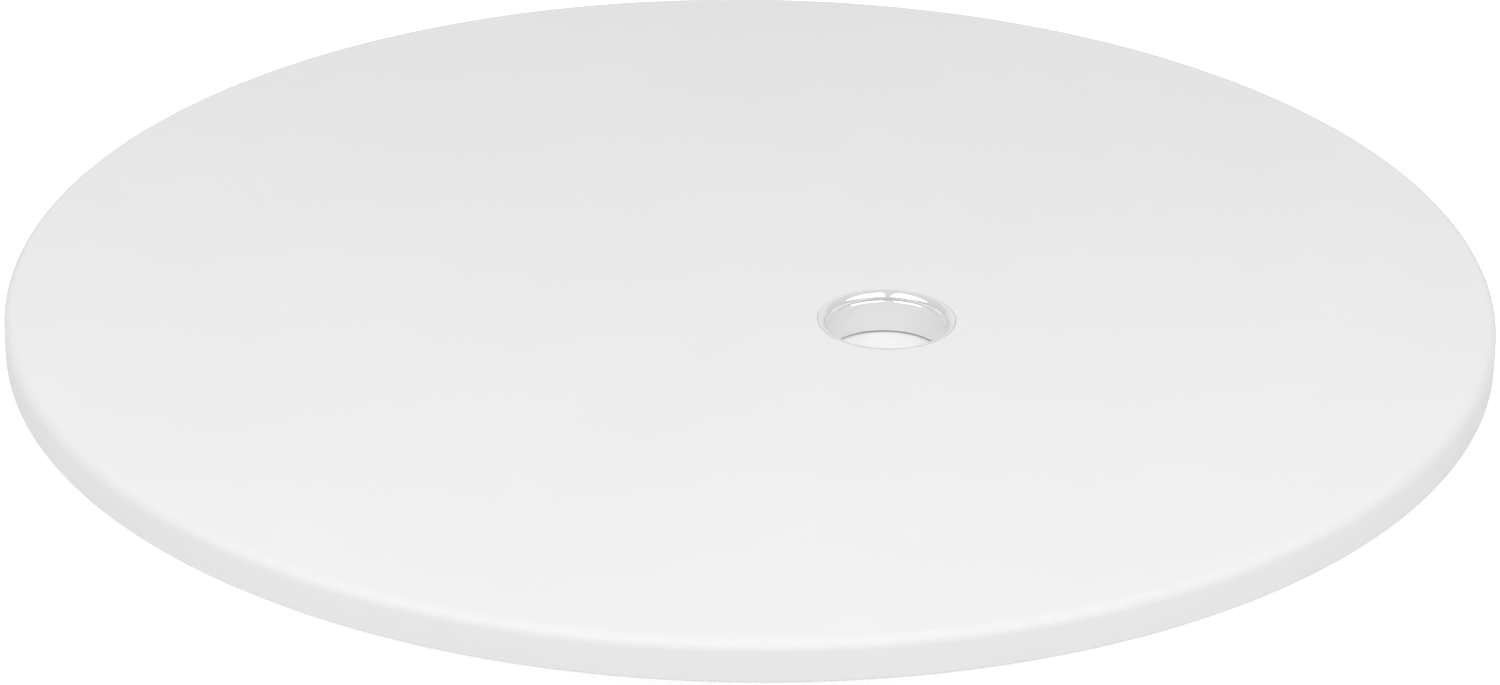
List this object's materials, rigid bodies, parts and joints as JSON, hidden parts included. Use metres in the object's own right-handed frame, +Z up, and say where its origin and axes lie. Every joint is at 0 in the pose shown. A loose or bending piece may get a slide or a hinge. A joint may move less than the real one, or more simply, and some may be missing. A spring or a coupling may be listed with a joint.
{
  "type": "lazy susan turntable",
  "caption": "Round white turntable: a thick disc with an off-centre lined hole, turning on a ring ball bearing above a moulded base with rubber feet.",
  "frame": {"origin": "on the spin axis, in the plane that the feet stand on", "axes": "+Z up along the spin axis; +X to the right and +Y to the back, with the hole in front and to the right"},
  "size_m": [0.4569, 0.457, 0.0302],
  "materials": {
    "disc_white": "satin",
    "lip_metal": "polished",
    "lining_grey": "matt",
    "rubber": "matt",
    "fibre": "matt",
    "brass": "turned",
    "ring_aluminium": "turned",
    "steel": "zinc plated",
    "ball_steel": "polished",
    "cage_nylon": "satin",
    "base_white": "satin"
  },
  "bodies": {
    "base": {"outer_ring": "ring_aluminium", "base_plate": "base_white", "base_screws": "steel", "base_screw_washers": "steel", "access_plug": "base_white", "centre_cover": "base_white", "cover_screws": "steel", "foot_1": "rubber", "foot_2": "rubber", "foot_3": "rubber", "foot_4": "rubber", "foot_5": "rubber", "foot_6": "rubber", "foot_washers": "steel", "foot_screws": "steel"},
    "turntable": {"top_disc": "disc_white", "trim_ring": "lip_metal", "hole_sleeve": "lining_grey", "sleeve_gasket": "rubber", "sleeve_washer": "fibre", "sleeve_nut": "lining_grey", "threaded_inserts": "brass", "inner_ring_upper": "ring_aluminium", "inner_ring_lower": "ring_aluminium", "ring_rivets": "steel", "disc_screws": "steel"},
    "ball_set": {"ball_cage": "cage_nylon", "bearing_balls": "ball_steel"}
  },
  "joints": [
    {"name": "turntable_spin", "type": "hinge", "parent": "base", "child": "turntable", "pos_m": [0, 0, 0.01325], "axis": [0, 0, 1], "continuous": true},
    {"name": "ball_set_spin", "type": "hinge", "parent": "base", "child": "ball_set", "pos_m": [0, 0, 0.01325], "axis": [0, 0, 1], "continuous": true}
  ],
  "couplings": [
    {"joint": "ball_set_spin", "follows": "turntable_spin", "ratio": 0.4876}
  ]
}
